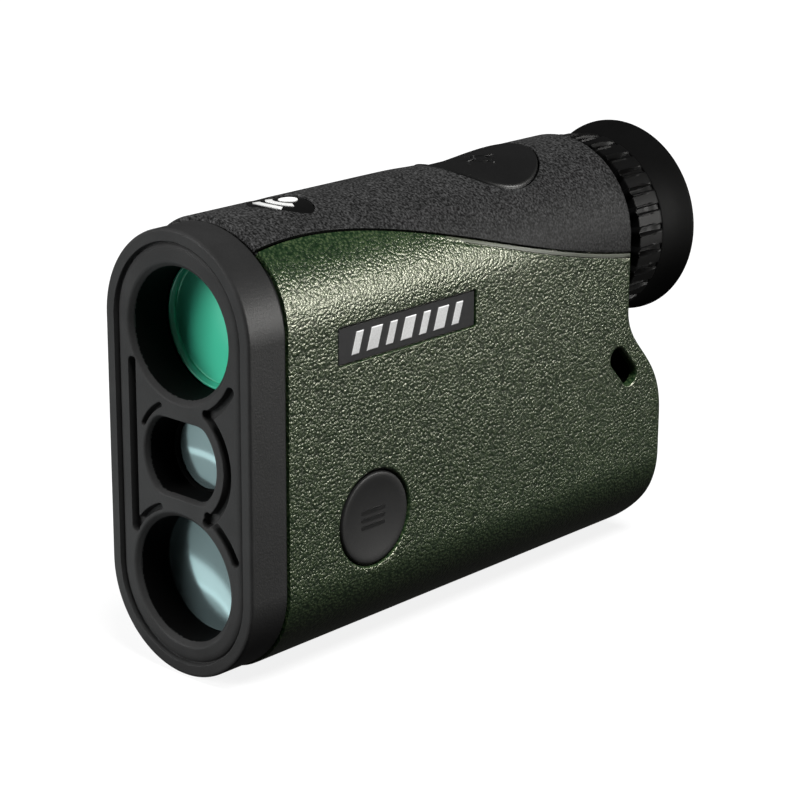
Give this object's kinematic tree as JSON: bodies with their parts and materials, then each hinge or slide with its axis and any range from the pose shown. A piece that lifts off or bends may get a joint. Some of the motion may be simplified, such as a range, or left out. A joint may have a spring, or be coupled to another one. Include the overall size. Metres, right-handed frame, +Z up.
{
  "type": "laser rangefinder",
  "caption": "Slim handheld laser rangefinder with stacked front windows, monocular eyepiece with diopter ring and twist-up eyecup, measure and menu buttons and a screw-capped battery bay.",
  "frame": {"origin": "centre of the bounding box's underside, below the middle of the housing", "axes": "+Z up, -Y the way the front windows look, +Y towards the eyepiece, +X the user's left side with the menu button"},
  "size_m": [0.0338, 0.1064, 0.0717],
  "materials": {
    "armour_green": "leather-grained soft-touch side armour, dark olive green",
    "cover_black": "fine stipple, charcoal",
    "bezel_black": "fine satin, near black",
    "button_black": "smooth soft-touch",
    "eyecup_rubber": "smooth matt rubber",
    "ring_rubber": "moulded ribs, satin",
    "plate_black": "glossy inlay",
    "inner_black": "anti-reflective matt",
    "coated_glass": "polished, green multi-coating",
    "clear_glass": "polished, faint blue coating",
    "steel": "plated",
    "brass": "turned",
    "board_green": "solder mask",
    "chip_black": "moulded epoxy",
    "flex_amber": "polyimide film",
    "battery_can": "printed sleeve over the can",
    "seal_rubber": "silicone"
  },
  "bodies": {
    "housing": {"left_shell": "armour_green", "right_shell": "armour_green", "top_cover": "cover_black", "nameplate": "plate_black", "badge": "plate_black", "front_bezel": "bezel_black", "bezel_gasket": "seal_rubber", "optical_chassis": "inner_black", "objective_lock_ring": "inner_black", "objective_front_lens": "coated_glass", "objective_spacer": "inner_black", "objective_rear_lens": "clear_glass", "emitter_lock_ring": "inner_black", "emitter_lens": "clear_glass", "receiver_lock_ring": "inner_black", "receiver_lens": "clear_glass", "bezel_screw_1": "steel", "bezel_screw_2": "steel", "bezel_screw_3": "steel", "bezel_screw_4": "steel", "laser_diode": "brass", "receiver_diode": "steel", "sensor_board": "board_green", "half_prism": "clear_glass", "roof_prism": "clear_glass", "prism_clip": "steel", "display_glass": "clear_glass", "field_stop": "inner_black", "main_board": "board_green", "processor_chip": "chip_black", "flex_cable": "flex_amber", "top_board": "board_green", "measure_switch": "chip_black", "menu_switch": "chip_black", "measure_seal": "seal_rubber", "menu_seal": "seal_rubber", "eyepiece_tube": "inner_black", "rear_flange": "inner_black", "battery_tube": "inner_black", "battery": "battery_can", "battery_spring": "steel", "lanyard_tunnel": "inner_black"},
    "measure_key": {"measure_button": "button_black"},
    "menu_key": {"menu_button": "button_black"},
    "diopter": {"diopter_ring": "ring_rubber"},
    "ocular": {"ocular_cell": "inner_black", "field_lens": "clear_glass", "eye_lens": "coated_glass", "ocular_lock_ring": "inner_black"},
    "eyecup_guide": {"eyecup_guide_ring": "brass"},
    "eyecup_turner": {"eyecup": "eyecup_rubber", "eyecup_sleeve": "inner_black"},
    "cap_plate": {"cap_contact": "brass"},
    "cap": {"battery_cap": "bezel_black", "cap_o_ring": "seal_rubber"}
  },
  "joints": [
    {"name": "measure_press", "type": "slide", "parent": "housing", "child": "measure_key", "axis": [0, 0, -1], "range_m": [0, 0.0007], "stiffness_N_per_m": 1500},
    {"name": "menu_press", "type": "slide", "parent": "housing", "child": "menu_key", "axis": [-1, 0, 0], "range_m": [0, 0.0006], "stiffness_N_per_m": 1500},
    {"name": "diopter_turn", "type": "hinge", "parent": "housing", "child": "diopter", "pos_m": [0, 0.042, 0.0548], "axis": [0, 1, 0], "range_deg": [-60, 60]},
    {"name": "ocular_focus", "type": "slide", "parent": "housing", "child": "ocular", "axis": [0, 1, 0], "range_m": [-0.00105, 0.00105]},
    {"name": "eyecup_rise", "type": "slide", "parent": "housing", "child": "eyecup_guide", "axis": [0, 1, 0], "range_m": [0, 0.0051]},
    {"name": "eyecup_twist", "type": "hinge", "parent": "eyecup_guide", "child": "eyecup_turner", "pos_m": [0, 0.048, 0.0548], "axis": [0, 1, 0], "range_deg": [0, 95]},
    {"name": "cap_back_out", "type": "slide", "parent": "housing", "child": "cap_plate", "axis": [0, 1, 0], "range_m": [0, 0.003]},
    {"name": "cap_turn", "type": "hinge", "parent": "cap_plate", "child": "cap", "pos_m": [0, 0.046, 0.0157], "axis": [0, 1, 0], "range_deg": [0, 540]}
  ],
  "couplings": [
    {"joint": "ocular_focus", "follows": "diopter_turn", "m_per_rad": 0.001},
    {"joint": "eyecup_rise", "follows": "eyecup_twist", "m_per_rad": 0.00303},
    {"joint": "cap_turn", "follows": "cap_back_out", "rad_per_m": 3140}
  ]
}
